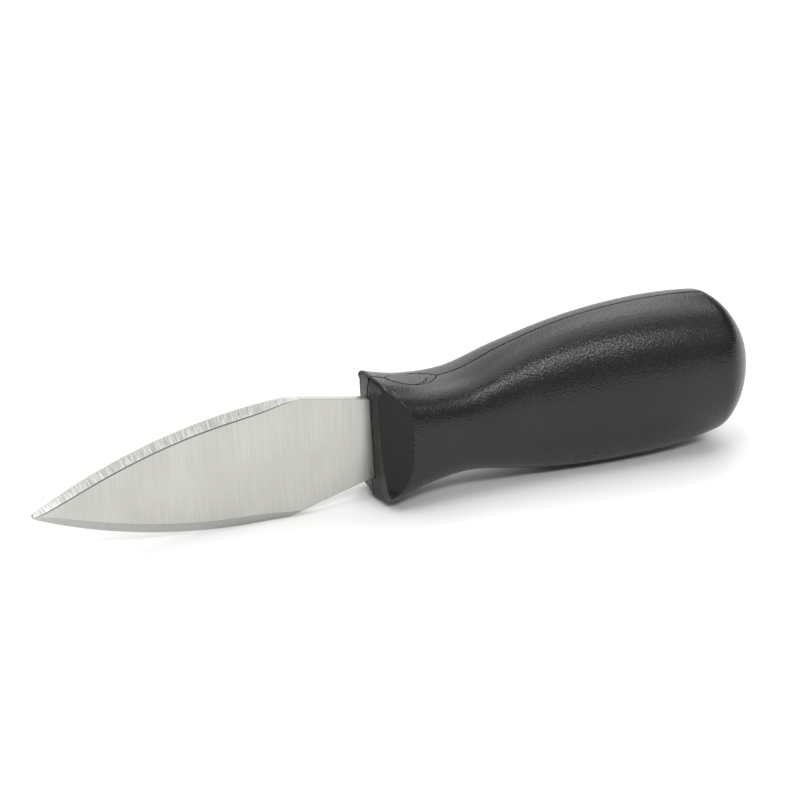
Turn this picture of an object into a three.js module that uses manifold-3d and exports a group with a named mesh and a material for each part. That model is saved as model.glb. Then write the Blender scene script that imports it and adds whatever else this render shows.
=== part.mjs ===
// Mussel knife: a double-edged leaf blade whose tang is held between two moulded handle halves.
// Millimetres, +Z up. Each piece is drawn along X from tip to butt with the blade upright in the
// XZ plane, and the whole knife is then tipped to rest on its lower shoulder and its belly.

import * as THREE from 'three';
import { mergeVertices } from 'three/addons/utils/BufferGeometryUtils.js';
import Module from 'manifold-3d';

// Blade, measured from just behind the front face of the handle
const BLADE_LENGTH = 74.6;
const BLADE_THICKNESS = 2;
const SHOULDER_X = -20;
const SHOULDER_WIDTH = 26.5;
const HEEL_WIDTH = 17.5;
const TIP_RADIUS = 0.8;
const BEVEL_WIDTH = 2.2;
const BEVEL_FADE_WIDTH = 1.9;
const EDGE_THICKNESS = 0.16;
const EDGE_BREAK = 0.2;
const GRIND_LIFT_START = -33;
const GRIND_LIFT_END = -16.5;
const GRIND_LIFT_POWER = 3;
const TIP_RIDGE_SHARE = 0.1;

// Tang, stepped down from the blade and hidden in the handle
const TANG_THICKNESS = 1.7;
const TANG_FRONT_WIDTH = 14.4;
const TANG_REAR_WIDTH = 11;
const TANG_ROOT_X = -6;
const TANG_END_X = 58;

// Handle sections: distance along the knife, half thickness, rise above and drop below the axis
const COLLAR_FRONT_X = -0.55;
const HANDLE_LENGTH = 88.3;
const HANDLE_SECTIONS = [
  [COLLAR_FRONT_X, 10.8, 13.75, 13.55],
  [2.7, 10.6, 12.5, 13.35],
  [9, 10.5, 10.85, 11.5],
  [19, 10.15, 10.5, 10.95],
  [30, 10.3, 13.55, 13.5],
  [43, 11.15, 16.2, 16.25],
  [56, 12.3, 17.15, 17.3],
  [68, 12.9, 16.9, 17.3],
  [80, 12.8, 15.35, 15.7],
  [HANDLE_LENGTH, 12, 13, 13.5],
];
const SECTION_SQUARENESS = 2.2;
const COLLAR_SQUARENESS = 3.2;
const COLLAR_BLEND_LENGTH = 45;
const BUTT_LENGTH = 9.5;
const BUTT_SQUARENESS = 1.77;
const BUTT_END_ANGLE = THREE.MathUtils.degToRad(85);
const RIM_RADIUS = 0.8;

// Front face of the collar: flat beside the blade, rolling back above and below it
const FRONT_FLAT_TOP = 8.6;
const FRONT_FLAT_BOTTOM = -10.2;
const FRONT_TOP_RADIUS = 15;
const FRONT_BOTTOM_RADIUS = 20;
const FRONT_FADE_LENGTH = 6;
const FRONT_RING_SHARES = [0.3, 0.6, 0.75, 0.88];

// Collar facets, hollow-cut into both front corners and deepest above the axis
const FACET_INSET = 4.4;
const FACET_ANGLE = THREE.MathUtils.degToRad(48);
const FACET_HOLLOW_RADIUS = 80;
const FACET_HOLLOW_Z = 6;

// Lens-shaped inlay across the seam on top of the neck
const INLAY_FRONT_X = 3.4;
const INLAY_BACK_X = 15.2;
const INLAY_WIDTH = 6.6;
const INLAY_FLOOR_Z = 8.8;
const INLAY_PROUD = 0.1;

// Inside of the handle halves
const SEAM_GAP = 0.3;
const CLEARANCE = 0.3;
const WALL = 3;
const CAVITY_FRONT_X = 19.5;
const CAVITY_BACK_X = 83.5;
const RIB_THICKNESS = 2.4;
const RIB_X = [38, 70];
const POST_X = [27, 50];
const POST_RADIUS = 2.3;
const POST_REACH = 6;
const BOSS_RADIUS = 4.6;

// Mesh steps
const BLADE_STEPS = { tip: 5, edge: 22, lift: 10, heel: 5 };
const HANDLE_STEPS = { rim: 4, body: 36, butt: 9, cavity: 20, belly: 60 };
const SECTION_SIDES = 40;
const INNER_SIDES = 24;
const ROUND_SIDES = 20;
const FACET_SIDES = 96;
const WELD_DISTANCE = 1e-4;
const BEYOND = 40;

const wasm = await Module();
wasm.setup();

// Closed solid of a geometry, welded and without the flat triangles at its poles
function solid(geometry) {
  geometry.deleteAttribute('normal');
  geometry.deleteAttribute('uv');
  const welded = mergeVertices(geometry, WELD_DISTANCE);
  const corners = welded.index.array;
  const triVerts = [];
  for (let i = 0; i < corners.length; i += 3) {
    const [a, b, c] = corners.slice(i, i + 3);
    if (a !== b && b !== c && c !== a) triVerts.push(a, b, c);
  }
  const vertProperties = Float32Array.from(welded.attributes.position.array);
  return new wasm.Manifold(new wasm.Mesh({ numProp: 3, vertProperties, triVerts: Uint32Array.from(triVerts) }));
}

// Skin through equal-sided cross sections: each row of a closed cylinder moves to one section
function loft(sections) {
  const rows = sections.length - 1;
  const sides = sections[0].length;
  const geometry = new THREE.CylinderGeometry(1, 1, 1, sides, rows);
  const position = geometry.attributes.position;
  const point = new THREE.Vector3();
  for (let i = 0; i < position.count; i += 1) {
    point.fromBufferAttribute(position, i);
    const section = sections[Math.round((0.5 - point.y) * rows)];
    const turn = Math.atan2(point.x, point.z) / (2 * Math.PI);
    const onAxis = Math.hypot(point.x, point.z) < 0.5;
    if (onAxis) {
      point.set(0, 0, 0);
      section.forEach((corner) => point.addScaledVector(corner, 1 / sides));
    } else {
      point.copy(section[(Math.round(turn * sides) + sides) % sides]);
    }
    position.setXYZ(i, point.x, point.y, point.z);
  }
  return solid(geometry);
}

// Upright plate: an outline in the XZ plane, given thickness evenly about the blade plane
function plate(outline, thickness) {
  const geometry = new THREE.ExtrudeGeometry(outline, {
    depth: thickness, bevelEnabled: false, curveSegments: ROUND_SIDES,
  });
  geometry.rotateX(Math.PI / 2).translate(0, thickness / 2, 0);
  return solid(geometry);
}

// Round bar across the handle, from one y to another
function crossBar(radius, x, fromY, toY) {
  const geometry = new THREE.CylinderGeometry(radius, radius, toY - fromY, ROUND_SIDES);
  geometry.translate(x, (fromY + toY) / 2, 0);
  return solid(geometry);
}

function block(sizeX, sizeY, sizeZ, x, y, z) {
  return solid(new THREE.BoxGeometry(sizeX, sizeY, sizeZ).translate(x, y, z));
}

function steps(from, to, count) {
  return Array.from({ length: count }, (_, i) => from + ((to - from) * i) / (count - 1));
}

// Blade outline: each edge is one arc, level at the shoulder and tangent to the round tip
const shoulderHalf = SHOULDER_WIDTH / 2;
const tipToShoulder = BLADE_LENGTH - TIP_RADIUS + SHOULDER_X;
const edgeRadius = (tipToShoulder ** 2 + shoulderHalf ** 2 - TIP_RADIUS ** 2)
  / (2 * (shoulderHalf - TIP_RADIUS));
const tipCentreX = TIP_RADIUS - BLADE_LENGTH;
const tipTangentX = SHOULDER_X + ((tipCentreX - SHOULDER_X) * edgeRadius) / (edgeRadius - TIP_RADIUS);

function bladeHalfWidth(x) {
  if (x < tipTangentX) return Math.sqrt(Math.max(0, TIP_RADIUS ** 2 - (x - tipCentreX) ** 2));
  if (x < SHOULDER_X) return shoulderHalf - edgeRadius + Math.sqrt(edgeRadius ** 2 - (x - SHOULDER_X) ** 2);
  return THREE.MathUtils.mapLinear(x, SHOULDER_X, 0, shoulderHalf, HEEL_WIDTH / 2);
}

// Eight-cornered blade section: flat faces and two bevels that lift off behind the shoulder
function bladeSection(x) {
  const half = Math.max(bladeHalfWidth(x), EDGE_THICKNESS);
  const liftRun = THREE.MathUtils.mapLinear(x, GRIND_LIFT_START, GRIND_LIFT_END, 0, 1);
  const lift = THREE.MathUtils.clamp(liftRun, 0, 1) ** GRIND_LIFT_POWER;
  const ground = BEVEL_WIDTH * (1 - Math.exp(-half / BEVEL_FADE_WIDTH));
  const bevel = Math.max(ground * (1 - lift), EDGE_BREAK);
  const edge = THREE.MathUtils.lerp(EDGE_THICKNESS, BLADE_THICKNESS - 2 * EDGE_BREAK, lift) / 2;
  const flat = Math.max(half - bevel, half * TIP_RIDGE_SHARE);
  const face = THREE.MathUtils.lerp(edge, BLADE_THICKNESS / 2, (half - flat) / bevel);
  const quarter = [[edge, half], [face, flat], [face, -flat], [edge, -half]];
  const mirrored = quarter.map(([y, z]) => [-y, -z]);
  return [...quarter, ...mirrored].map(([y, z]) => new THREE.Vector3(x, y, z));
}

function tangOutline(margin, frontX) {
  const front = TANG_FRONT_WIDTH / 2 + margin;
  const rear = TANG_REAR_WIDTH / 2 + margin;
  const outline = new THREE.Shape();
  outline.moveTo(frontX, -front);
  outline.lineTo(TANG_END_X, -rear);
  outline.absarc(TANG_END_X, 0, rear, -Math.PI / 2, Math.PI / 2);
  outline.lineTo(frontX, front);
  outline.closePath();
  return outline;
}

function makeBlade() {
  const stations = [
    ...steps(-BLADE_LENGTH, tipTangentX, BLADE_STEPS.tip),
    ...steps(tipTangentX, GRIND_LIFT_START, BLADE_STEPS.edge).slice(1),
    ...steps(GRIND_LIFT_START, SHOULDER_X, BLADE_STEPS.lift).slice(1),
    ...steps(SHOULDER_X, GRIND_LIFT_END, BLADE_STEPS.heel).slice(1),
    COLLAR_FRONT_X - CLEARANCE,
  ];
  let blade = loft(stations.map(bladeSection));
  blade = blade.add(plate(tangOutline(0, TANG_ROOT_X), TANG_THICKNESS));
  for (const x of POST_X) {
    blade = blade.subtract(crossBar(POST_RADIUS + CLEARANCE, x, -BLADE_THICKNESS, BLADE_THICKNESS));
  }
  return blade;
}

// Handle sections follow one smooth profile and close in a rounded butt
const profile = new THREE.CubicInterpolant(
  HANDLE_SECTIONS.map(([x]) => x),
  HANDLE_SECTIONS.flatMap(([, ...sizes]) => sizes),
  3,
);

function handleSizes(x) {
  const intoButt = THREE.MathUtils.clamp((x - HANDLE_LENGTH + BUTT_LENGTH) / BUTT_LENGTH, 0, 1);
  const closing = (1 - intoButt ** BUTT_SQUARENESS) ** (1 / BUTT_SQUARENESS);
  return Array.from(profile.evaluate(x), (size) => size * closing);
}

function handlePoint(x, growth, angle) {
  const [halfThickness, rise, drop] = handleSizes(x);
  const blend = THREE.MathUtils.smoothstep(x, 0, COLLAR_BLEND_LENGTH);
  const power = 2 / THREE.MathUtils.lerp(COLLAR_SQUARENESS, SECTION_SQUARENESS, blend);
  const across = Math.sign(Math.sin(angle)) * Math.abs(Math.sin(angle)) ** power;
  const upward = Math.sign(Math.cos(angle)) * Math.abs(Math.cos(angle)) ** power;
  const height = upward > 0 ? rise : drop;
  return new THREE.Vector3(x, (halfThickness + growth) * across, (height + growth) * upward);
}

// How far the collar's front face has rolled back at a height
function frontRoll(z) {
  const above = Math.max(0, z - FRONT_FLAT_TOP);
  const below = Math.max(0, FRONT_FLAT_BOTTOM - z);
  return above ** 2 / (2 * FRONT_TOP_RADIUS) + below ** 2 / (2 * FRONT_BOTTOM_RADIUS);
}

// Cross section with a corner on each side of the seam, so that the belly has a narrow flat to stand on
function handleSection(x, growth, sides) {
  const rollShare = 1 - THREE.MathUtils.smoothstep(x, COLLAR_FRONT_X, COLLAR_FRONT_X + FRONT_FADE_LENGTH);
  return Array.from({ length: sides }, (_, i) => {
    const angle = (2 * Math.PI * (i + 0.5)) / sides;
    const height = handlePoint(x, growth, angle).z;
    return handlePoint(x + rollShare * frontRoll(height), growth, angle);
  });
}

// Whole outer form of the handle, with a rolled rim round its front face
function handleForm(growth) {
  const rim = steps(0, Math.PI / 2, HANDLE_STEPS.rim).map((angle) => handleSection(
    COLLAR_FRONT_X + RIM_RADIUS * (1 - Math.cos(angle)), growth - RIM_RADIUS * (1 - Math.sin(angle)), SECTION_SIDES,
  ));
  const front = FRONT_RING_SHARES.map((share) => rim[0].map(({ y, z }) => new THREE.Vector3(
    COLLAR_FRONT_X + frontRoll(z * share), y * share, z * share,
  )));
  const body = steps(COLLAR_FRONT_X + RIM_RADIUS, HANDLE_LENGTH - BUTT_LENGTH, HANDLE_STEPS.body).slice(1);
  const butt = steps(0, BUTT_END_ANGLE, HANDLE_STEPS.butt).slice(1)
    .map((angle) => HANDLE_LENGTH - BUTT_LENGTH * (1 - Math.sin(angle)));
  const rest = [...body, ...butt].map((x) => handleSection(x, growth, SECTION_SIDES));
  return loft([...front, ...rim, ...rest]);
}

// Cutter for the facet on one side: a wide cylinder lying level along the facet
function facetCutter(side) {
  const geometry = new THREE.CylinderGeometry(FACET_HOLLOW_RADIUS, FACET_HOLLOW_RADIUS, BEYOND, FACET_SIDES);
  geometry.rotateZ(Math.PI / 2);
  geometry.translate(0, side * FACET_HOLLOW_RADIUS, 0);
  geometry.rotateZ(side * FACET_ANGLE);
  geometry.translate(COLLAR_FRONT_X, side * FACET_INSET, FACET_HOLLOW_Z);
  return solid(geometry);
}

// Upright prism with a lens-shaped plan, standing on the given height
function lensPrism(margin, floorZ) {
  const halfLength = (INLAY_BACK_X - INLAY_FRONT_X) / 2 + margin;
  const halfWidth = INLAY_WIDTH / 2 + margin;
  const radius = (halfLength ** 2 + halfWidth ** 2) / (2 * halfWidth);
  const halfAngle = Math.asin(halfLength / radius);
  const lens = new THREE.Shape();
  lens.absarc(0, halfWidth - radius, radius, Math.PI / 2 - halfAngle, Math.PI / 2 + halfAngle);
  lens.absarc(0, radius - halfWidth, radius, 1.5 * Math.PI - halfAngle, 1.5 * Math.PI + halfAngle);
  const geometry = new THREE.ExtrudeGeometry(lens, {
    depth: BEYOND, bevelEnabled: false, curveSegments: ROUND_SIDES,
  });
  geometry.translate((INLAY_FRONT_X + INLAY_BACK_X) / 2, 0, floorZ);
  return solid(geometry);
}

function makeInlay() {
  return handleForm(INLAY_PROUD).intersect(lensPrism(0, INLAY_FLOOR_Z));
}

// Hollow inside of the handle, which leaves the cross ribs and the post bosses standing
function handleCavity() {
  const stations = steps(CAVITY_FRONT_X, CAVITY_BACK_X, HANDLE_STEPS.cavity);
  let cavity = loft(stations.map((x) => handleSection(x, -WALL, INNER_SIDES)));
  for (const x of RIB_X) cavity = cavity.subtract(block(RIB_THICKNESS, BEYOND, BEYOND, x, 0, 0));
  for (const x of POST_X) cavity = cavity.subtract(crossBar(BOSS_RADIUS, x, -BEYOND, BEYOND));
  return cavity;
}

// One handle half: side -1 is the left one, with the posts, and +1 the right one, with the sockets
function makeHandleHalf(side) {
  const reach = 2 * HANDLE_LENGTH;
  const halfSpace = block(reach, BEYOND, BEYOND, reach / 2 - BEYOND, (side * (BEYOND + SEAM_GAP)) / 2, 0);
  let half = handleForm(0).intersect(halfSpace);
  half = half.subtract(facetCutter(side)).subtract(handleCavity());
  half = half.subtract(plate(tangOutline(CLEARANCE, -BLADE_THICKNESS), TANG_THICKNESS + 2 * CLEARANCE));
  half = half.subtract(lensPrism(CLEARANCE, INLAY_FLOOR_Z - CLEARANCE));
  for (const x of POST_X) {
    if (side < 0) half = half.add(crossBar(POST_RADIUS, x, -POST_REACH, POST_REACH));
    else half = half.subtract(crossBar(POST_RADIUS + CLEARANCE, x, 0, POST_REACH + CLEARANCE));
  }
  return half;
}

function piece(name, body, material) {
  const { vertProperties, triVerts } = body.getMesh();
  const geometry = new THREE.BufferGeometry();
  geometry.setAttribute('position', new THREE.BufferAttribute(vertProperties, 3));
  geometry.setIndex(new THREE.BufferAttribute(triVerts, 1));
  geometry.computeVertexNormals();
  const mesh = new THREE.Mesh(geometry, material);
  mesh.name = name;
  return mesh;
}

const steel = { color: 0xcfcdc8, metalness: 1, roughness: 0.34 };
const polypropylene = { color: 0x2d2d2e, metalness: 0, roughness: 0.5 };

const knife = new THREE.Group();
knife.add(
  piece('blade', makeBlade(), new THREE.MeshStandardMaterial(steel)),
  piece('handle_half_left', makeHandleHalf(-1), new THREE.MeshStandardMaterial(polypropylene)),
  piece('handle_half_right', makeHandleHalf(1), new THREE.MeshStandardMaterial(polypropylene)),
  piece('neck_inlay', makeInlay(), new THREE.MeshStandardMaterial(polypropylene)),
);

// Tip the knife until shoulder and belly both touch the ground, then centre it over the origin
const bellyClimb = steps(HANDLE_LENGTH / 2, HANDLE_LENGTH, HANDLE_STEPS.belly)
  .map((x) => Math.atan2(handleSizes(x)[2] - shoulderHalf, x - SHOULDER_X));
knife.rotation.y = -Math.max(...bellyClimb);
const part = new THREE.Group();
part.add(knife);
const box = new THREE.Box3().setFromObject(part, true);
const centre = box.getCenter(new THREE.Vector3());
knife.position.set(-centre.x, -centre.y, -box.min.z);

export default part;
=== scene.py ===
import math

import bmesh
import bpy
import numpy as np
from mathutils import Matrix, Vector


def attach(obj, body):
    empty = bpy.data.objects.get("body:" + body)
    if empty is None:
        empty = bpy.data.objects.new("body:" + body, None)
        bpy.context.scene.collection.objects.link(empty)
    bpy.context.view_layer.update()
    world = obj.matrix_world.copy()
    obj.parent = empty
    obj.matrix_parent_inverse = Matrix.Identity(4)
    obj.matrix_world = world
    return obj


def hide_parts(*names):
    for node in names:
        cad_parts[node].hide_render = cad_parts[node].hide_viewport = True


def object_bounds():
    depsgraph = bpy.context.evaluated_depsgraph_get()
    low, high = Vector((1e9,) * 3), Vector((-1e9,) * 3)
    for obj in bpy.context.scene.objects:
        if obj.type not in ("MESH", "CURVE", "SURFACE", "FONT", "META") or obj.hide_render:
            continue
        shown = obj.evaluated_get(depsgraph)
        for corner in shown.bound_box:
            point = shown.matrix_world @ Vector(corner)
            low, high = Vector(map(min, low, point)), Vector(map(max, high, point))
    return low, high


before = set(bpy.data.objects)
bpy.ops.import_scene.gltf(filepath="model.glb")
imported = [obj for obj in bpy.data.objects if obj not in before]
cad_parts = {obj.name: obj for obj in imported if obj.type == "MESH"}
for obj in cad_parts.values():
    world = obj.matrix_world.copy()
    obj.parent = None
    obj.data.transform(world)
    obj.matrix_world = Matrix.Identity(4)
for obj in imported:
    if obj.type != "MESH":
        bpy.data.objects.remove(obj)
cad_low, cad_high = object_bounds()

# Blade: one leaf-shaped blank of 2 mm martensitic stainless sheet, brushed across its length on both faces.
# Both edges are ground on a coarse belt from the tip to the shoulders, and a thinner tang runs back from
# the square heel into the handle. Sizes are millimetres along the knife, from just behind the collar's front.
BLADE_LENGTH = 74.6
BLADE_THICKNESS = 2.0
SHOULDER_X = -20.0
SHOULDER_HALF = 13.25
HEEL_HALF = 8.75
HEEL_X = 0.9
TIP_RADIUS = 0.8
BEVEL_WIDTH = 2.2
BEVEL_FADE_WIDTH = 1.9
BEVEL_HOLLOW = 0.9
EDGE_THICKNESS = 0.16
EDGE_BREAK = 0.2
GRIND_LIFT_START = -33.0
GRIND_LIFT_END = -16.5
GRIND_LIFT_CURVE = 3.0
RIDGE_SHARE = 0.1
TANG_THICKNESS = 1.7
TANG_ROOT_X = -6.0
TANG_FRONT_HALF = 7.2
TANG_REAR_HALF = 5.5
TANG_END_X = 58.0

# Blade mesh: rows from tip to tang, and columns from the middle of a face out to the edge
EDGE_ROWS = 220
HEEL_ROWS = 60
TANG_ROWS = 24
FLAT_COLUMNS = 12
BEVEL_COLUMNS = 8
EDGE_COLUMNS = 2
TIP_CROWDING = 1.5
WELD_DISTANCE = 0.002

# Where the knife lies: the collar on its axis, and the tilt that rests shoulder and belly
COLLAR_CENTRE = Vector((-0.006839, 0.0, 0.014476))
KNIFE_TILT = math.radians(3.066)
MILLIMETRE = 0.001
knife_rest = (
    Matrix.Translation(COLLAR_CENTRE)
    @ Matrix.Rotation(-KNIFE_TILT, 4, "Y")
    @ Matrix.Scale(MILLIMETRE, 4)
)


def linear_colour(hex_colour):
    """sRGB hex colour as the linear colour that the shaders take."""
    channels = [int(hex_colour[i:i + 2], 16) / 255 for i in (1, 3, 5)]
    return (*[c / 12.92 if c <= 0.04045 else ((c + 0.055) / 1.055) ** 2.4 for c in channels], 1.0)


def add_node(tree, kind, *inputs, named=None, output=0, **settings):
    """Adds a node with its settings, fills its inputs in order and by name, and gives back one output."""
    node = tree.nodes.new(kind)
    for setting, value in settings.items():
        setattr(node, setting, value)
    open_sockets = [socket for socket in node.inputs if socket.enabled]
    pairs = list(zip(open_sockets, inputs))
    pairs += [(node.inputs[name], value) for name, value in (named or {}).items()]
    for socket, value in pairs:
        if isinstance(value, bpy.types.NodeSocket):
            tree.links.new(value, socket)
        elif value is not None:
            socket.default_value = value
    return node.outputs[output] if node.outputs else node


def new_material(name):
    """Empty node material and its tree."""
    material = bpy.data.materials.new(name)
    material.use_nodes = True
    material.node_tree.nodes.clear()
    return material, material.node_tree


def new_shape_tree(name, sizes):
    """Geometry node tree with one named input for each size, and those inputs by name."""
    tree = bpy.data.node_groups.new(name, "GeometryNodeTree")
    for way in ("INPUT", "OUTPUT"):
        tree.interface.new_socket("Geometry", in_out=way, socket_type="NodeSocketGeometry")
    for size, value in sizes.items():
        whole = isinstance(value, int)
        kind = "NodeSocketInt" if whole else "NodeSocketFloat"
        tree.interface.new_socket(size, in_out="INPUT", socket_type=kind)
    group_input = tree.nodes.new("NodeGroupInput")
    return tree, {socket.name: socket for socket in group_input.outputs if socket.name}


def shaped_mesh(tree, sizes, base):
    """Plain mesh that the tree makes from a base mesh and its sizes."""
    maker = bpy.data.objects.new(tree.name, base)
    bpy.context.scene.collection.objects.link(maker)
    modifier = maker.modifiers.new(tree.name, "NODES")
    modifier.node_group = tree
    for socket in tree.interface.items_tree:
        if socket.in_out == "INPUT" and socket.name in sizes:
            modifier[socket.identifier] = sizes[socket.name]
    evaluated = maker.evaluated_get(bpy.context.evaluated_depsgraph_get())
    mesh = bpy.data.meshes.new_from_object(evaluated)
    maker.modifiers.remove(modifier)
    bpy.data.objects.remove(maker)
    return mesh


def place_piece(name, mesh, sharp_angle):
    """Object of a finished mesh drawn in knife millimetres, put where the knife lies."""
    mesh.transform(knife_rest)
    mesh.set_sharp_from_angle(angle=math.radians(sharp_angle))
    piece = bpy.data.objects.new(name, mesh)
    bpy.context.scene.collection.objects.link(piece)
    return piece


# Brushed stainless: fine belt lines run across the blade, so the sheen is broken into faint upright streaks.
# The real lines are about 0.05 mm apart and are drawn 0.3 mm apart so that they show.
BRUSH_LINE_SPACING = 0.3
BRUSH_LINE_LENGTH = 14.0
BRUSH_LINE_DEPTH = 0.02
BRUSH_LINE_RANGE = (0.25, 0.75)
BRUSHED_CLOUD_SIZE = 9.0
BRUSHED_CLOUD_TONES = (0.94, 1.02)
BRUSHED_SHADES = ("#bebdb8", "#cbcac5")
BRUSHED_SHEEN = (0.3, 0.42)

# Noise runs from 0 to 1 but mostly keeps to this range, so shades and sheens are spread over it
NOISE_RANGE = (0.3, 0.7)
brushed_steel, shader = new_material("Brushed stainless steel")
place = add_node(shader, "ShaderNodeTexCoord", output="Object")
along = add_node(shader, "ShaderNodeMapping", place, named={"Rotation": (0, KNIFE_TILT, 0)})
line_sizes = (BRUSH_LINE_SPACING, BRUSH_LINE_LENGTH, BRUSH_LINE_LENGTH)
stretched = add_node(shader, "ShaderNodeMapping", along, named={
    "Scale": [1 / (size * MILLIMETRE) for size in line_sizes]})
lines = add_node(shader, "ShaderNodeTexNoise", stretched, named={
    "Scale": 1.0, "Detail": 3.0, "Roughness": 0.6})
clouds = add_node(shader, "ShaderNodeTexNoise", along, named={
    "Scale": 1 / (BRUSHED_CLOUD_SIZE * MILLIMETRE), "Detail": 2.0})
tone = add_node(shader, "ShaderNodeValToRGB", lines)
for stop, level, shade in zip(tone.node.color_ramp.elements, NOISE_RANGE, BRUSHED_SHADES):
    stop.position = level
    stop.color = linear_colour(shade)
cloud_tone = add_node(shader, "ShaderNodeMapRange", clouds, *NOISE_RANGE, *BRUSHED_CLOUD_TONES)
colour = add_node(shader, "ShaderNodeVectorMath", tone, cloud_tone, operation="MULTIPLY")
sheen = add_node(shader, "ShaderNodeMapRange", lines, *BRUSH_LINE_RANGE, *BRUSHED_SHEEN)
ridges = add_node(shader, "ShaderNodeBump", named={
    "Height": lines, "Strength": 0.25, "Distance": BRUSH_LINE_DEPTH * MILLIMETRE})
surface = add_node(shader, "ShaderNodeBsdfPrincipled", named={
    "Base Color": colour, "Metallic": 1.0, "Roughness": sheen, "Normal": ridges})
add_node(shader, "ShaderNodeOutputMaterial", surface)

# Belt-ground stainless: coarse grit leaves bright and dark furrows square to the edge.
# The furrows are 0.25 mm apart. The upper bevel's colour is painted lighter and the lower bevel's darker, as
# painted light and shade, and a dark hairline is painted where the bevel starts.
FURROW_SPACING = 0.25
FURROW_LENGTH = 3.0
FURROW_DEPTH = 0.1
FURROW_CONTRAST = 0.4
FINE_GRIND_COARSENESS_AND_SHADE = 0.12
LIT_AND_SHADED_BEVEL_TONES = (0.24, 0.56)
GROUND_SHADES = ("#8a8a86", "#f8f7f4")
GROUND_SHEEN = (0.3, 0.55)
HAIRLINE_SHADE = "#77756f"
ground_steel, shader = new_material("Belt-ground stainless steel")
grind_place = add_node(shader, "ShaderNodeAttribute", attribute_name="grind_place", output="Vector")
coarseness_and_painted_light = add_node(shader, "ShaderNodeAttribute", attribute_name="grind_coarseness_and_painted_light", output="Fac")
hairline = add_node(shader, "ShaderNodeAttribute", attribute_name="grind_line", output="Fac")
stretched = add_node(shader, "ShaderNodeMapping", grind_place, named={
    "Scale": (1 / FURROW_SPACING, 1 / FURROW_LENGTH, 1)})
furrows = add_node(shader, "ShaderNodeTexNoise", stretched, named={
    "Scale": 1.0, "Detail": 4.0, "Roughness": 0.65})
contrast = add_node(shader, "ShaderNodeMapRange", furrows, *NOISE_RANGE, -FURROW_CONTRAST, FURROW_CONTRAST)
furrow_depth = add_node(shader, "ShaderNodeMath", contrast, coarseness_and_painted_light, operation="MULTIPLY")
# Painted light and shade: the upper bevel's base colour is lighter and the lower bevel's darker
lit_or_shaded_bevel_tone = add_node(shader, "ShaderNodeMapRange", coarseness_and_painted_light, 0, 1, *LIT_AND_SHADED_BEVEL_TONES)
furrow_and_painted_light_tone = add_node(shader, "ShaderNodeMath", lit_or_shaded_bevel_tone, furrow_depth, operation="ADD")
tone = add_node(shader, "ShaderNodeValToRGB", furrow_and_painted_light_tone)
for stop, shade in zip(tone.node.color_ramp.elements, GROUND_SHADES):
    stop.color = linear_colour(shade)
# A dark hairline is painted where each bevel starts, full on the upper bevel and faint on the lower
hairlined = add_node(shader, "ShaderNodeMix", hairline, tone, linear_colour(HAIRLINE_SHADE),
                   data_type="RGBA", output=2)
sheen = add_node(shader, "ShaderNodeMapRange", coarseness_and_painted_light, 0, 1, *GROUND_SHEEN)
ridges = add_node(shader, "ShaderNodeBump", named={
    "Height": furrow_depth, "Strength": 0.6, "Distance": FURROW_DEPTH * MILLIMETRE})
surface = add_node(shader, "ShaderNodeBsdfPrincipled", named={
    "Base Color": hairlined, "Metallic": 1.0, "Roughness": sheen, "Normal": ridges})
add_node(shader, "ShaderNodeOutputMaterial", surface)

# Leaf rule: each edge is one arc, level at the shoulder and tangent to the round tip, then a straight heel
tip_centre_x = TIP_RADIUS - BLADE_LENGTH
shoulder_to_tip = SHOULDER_X - tip_centre_x
edge_arc_radius = (shoulder_to_tip**2 + SHOULDER_HALF**2 - TIP_RADIUS**2) / (2 * (SHOULDER_HALF - TIP_RADIUS))
tip_tangent_x = SHOULDER_X - shoulder_to_tip * edge_arc_radius / (edge_arc_radius - TIP_RADIUS)
MATH, RAMP = "ShaderNodeMath", "ShaderNodeMapRange"
blade_sizes = {
    "Blade length": BLADE_LENGTH, "Blade thickness": BLADE_THICKNESS, "Shoulder place": SHOULDER_X,
    "Shoulder half width": SHOULDER_HALF, "Heel half width": HEEL_HALF, "Heel place": HEEL_X,
    "Tip radius": TIP_RADIUS, "Tip centre": tip_centre_x, "Tip tangent": tip_tangent_x,
    "Edge arc radius": edge_arc_radius, "Bevel width": BEVEL_WIDTH, "Bevel fade width": BEVEL_FADE_WIDTH,
    "Bevel hollow": BEVEL_HOLLOW, "Edge thickness": EDGE_THICKNESS, "Edge break": EDGE_BREAK,
    "Grind lift start": GRIND_LIFT_START, "Grind lift end": GRIND_LIFT_END,
    "Tang thickness": TANG_THICKNESS, "Tang root": TANG_ROOT_X, "Tang front half width": TANG_FRONT_HALF,
    "Tang rear half width": TANG_REAR_HALF, "Tang end": TANG_END_X,
}
leaf, size = new_shape_tree("Leaf blade", blade_sizes)

# Each row of a grid becomes one cross section of a face, and each column runs along the blade
heel_row = EDGE_ROWS + HEEL_ROWS
last_row = heel_row + 1 + TANG_ROWS
face_columns = FLAT_COLUMNS + BEVEL_COLUMNS + EDGE_COLUMNS
grid = add_node(leaf, "GeometryNodeMeshGrid", 1.0, 1.0, last_row + 1, 2 * face_columns + 1)
grid_place = add_node(leaf, "ShaderNodeSeparateXYZ", grid.node.outputs["UV Map"])
row = add_node(leaf, MATH, grid_place, last_row, operation="MULTIPLY")
across = add_node(leaf, RAMP, grid_place.node.outputs[1], 0.0, 1.0, -face_columns, face_columns)
column = add_node(leaf, MATH, across, operation="ABSOLUTE")
side = add_node(leaf, MATH, across, operation="SIGN")

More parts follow.
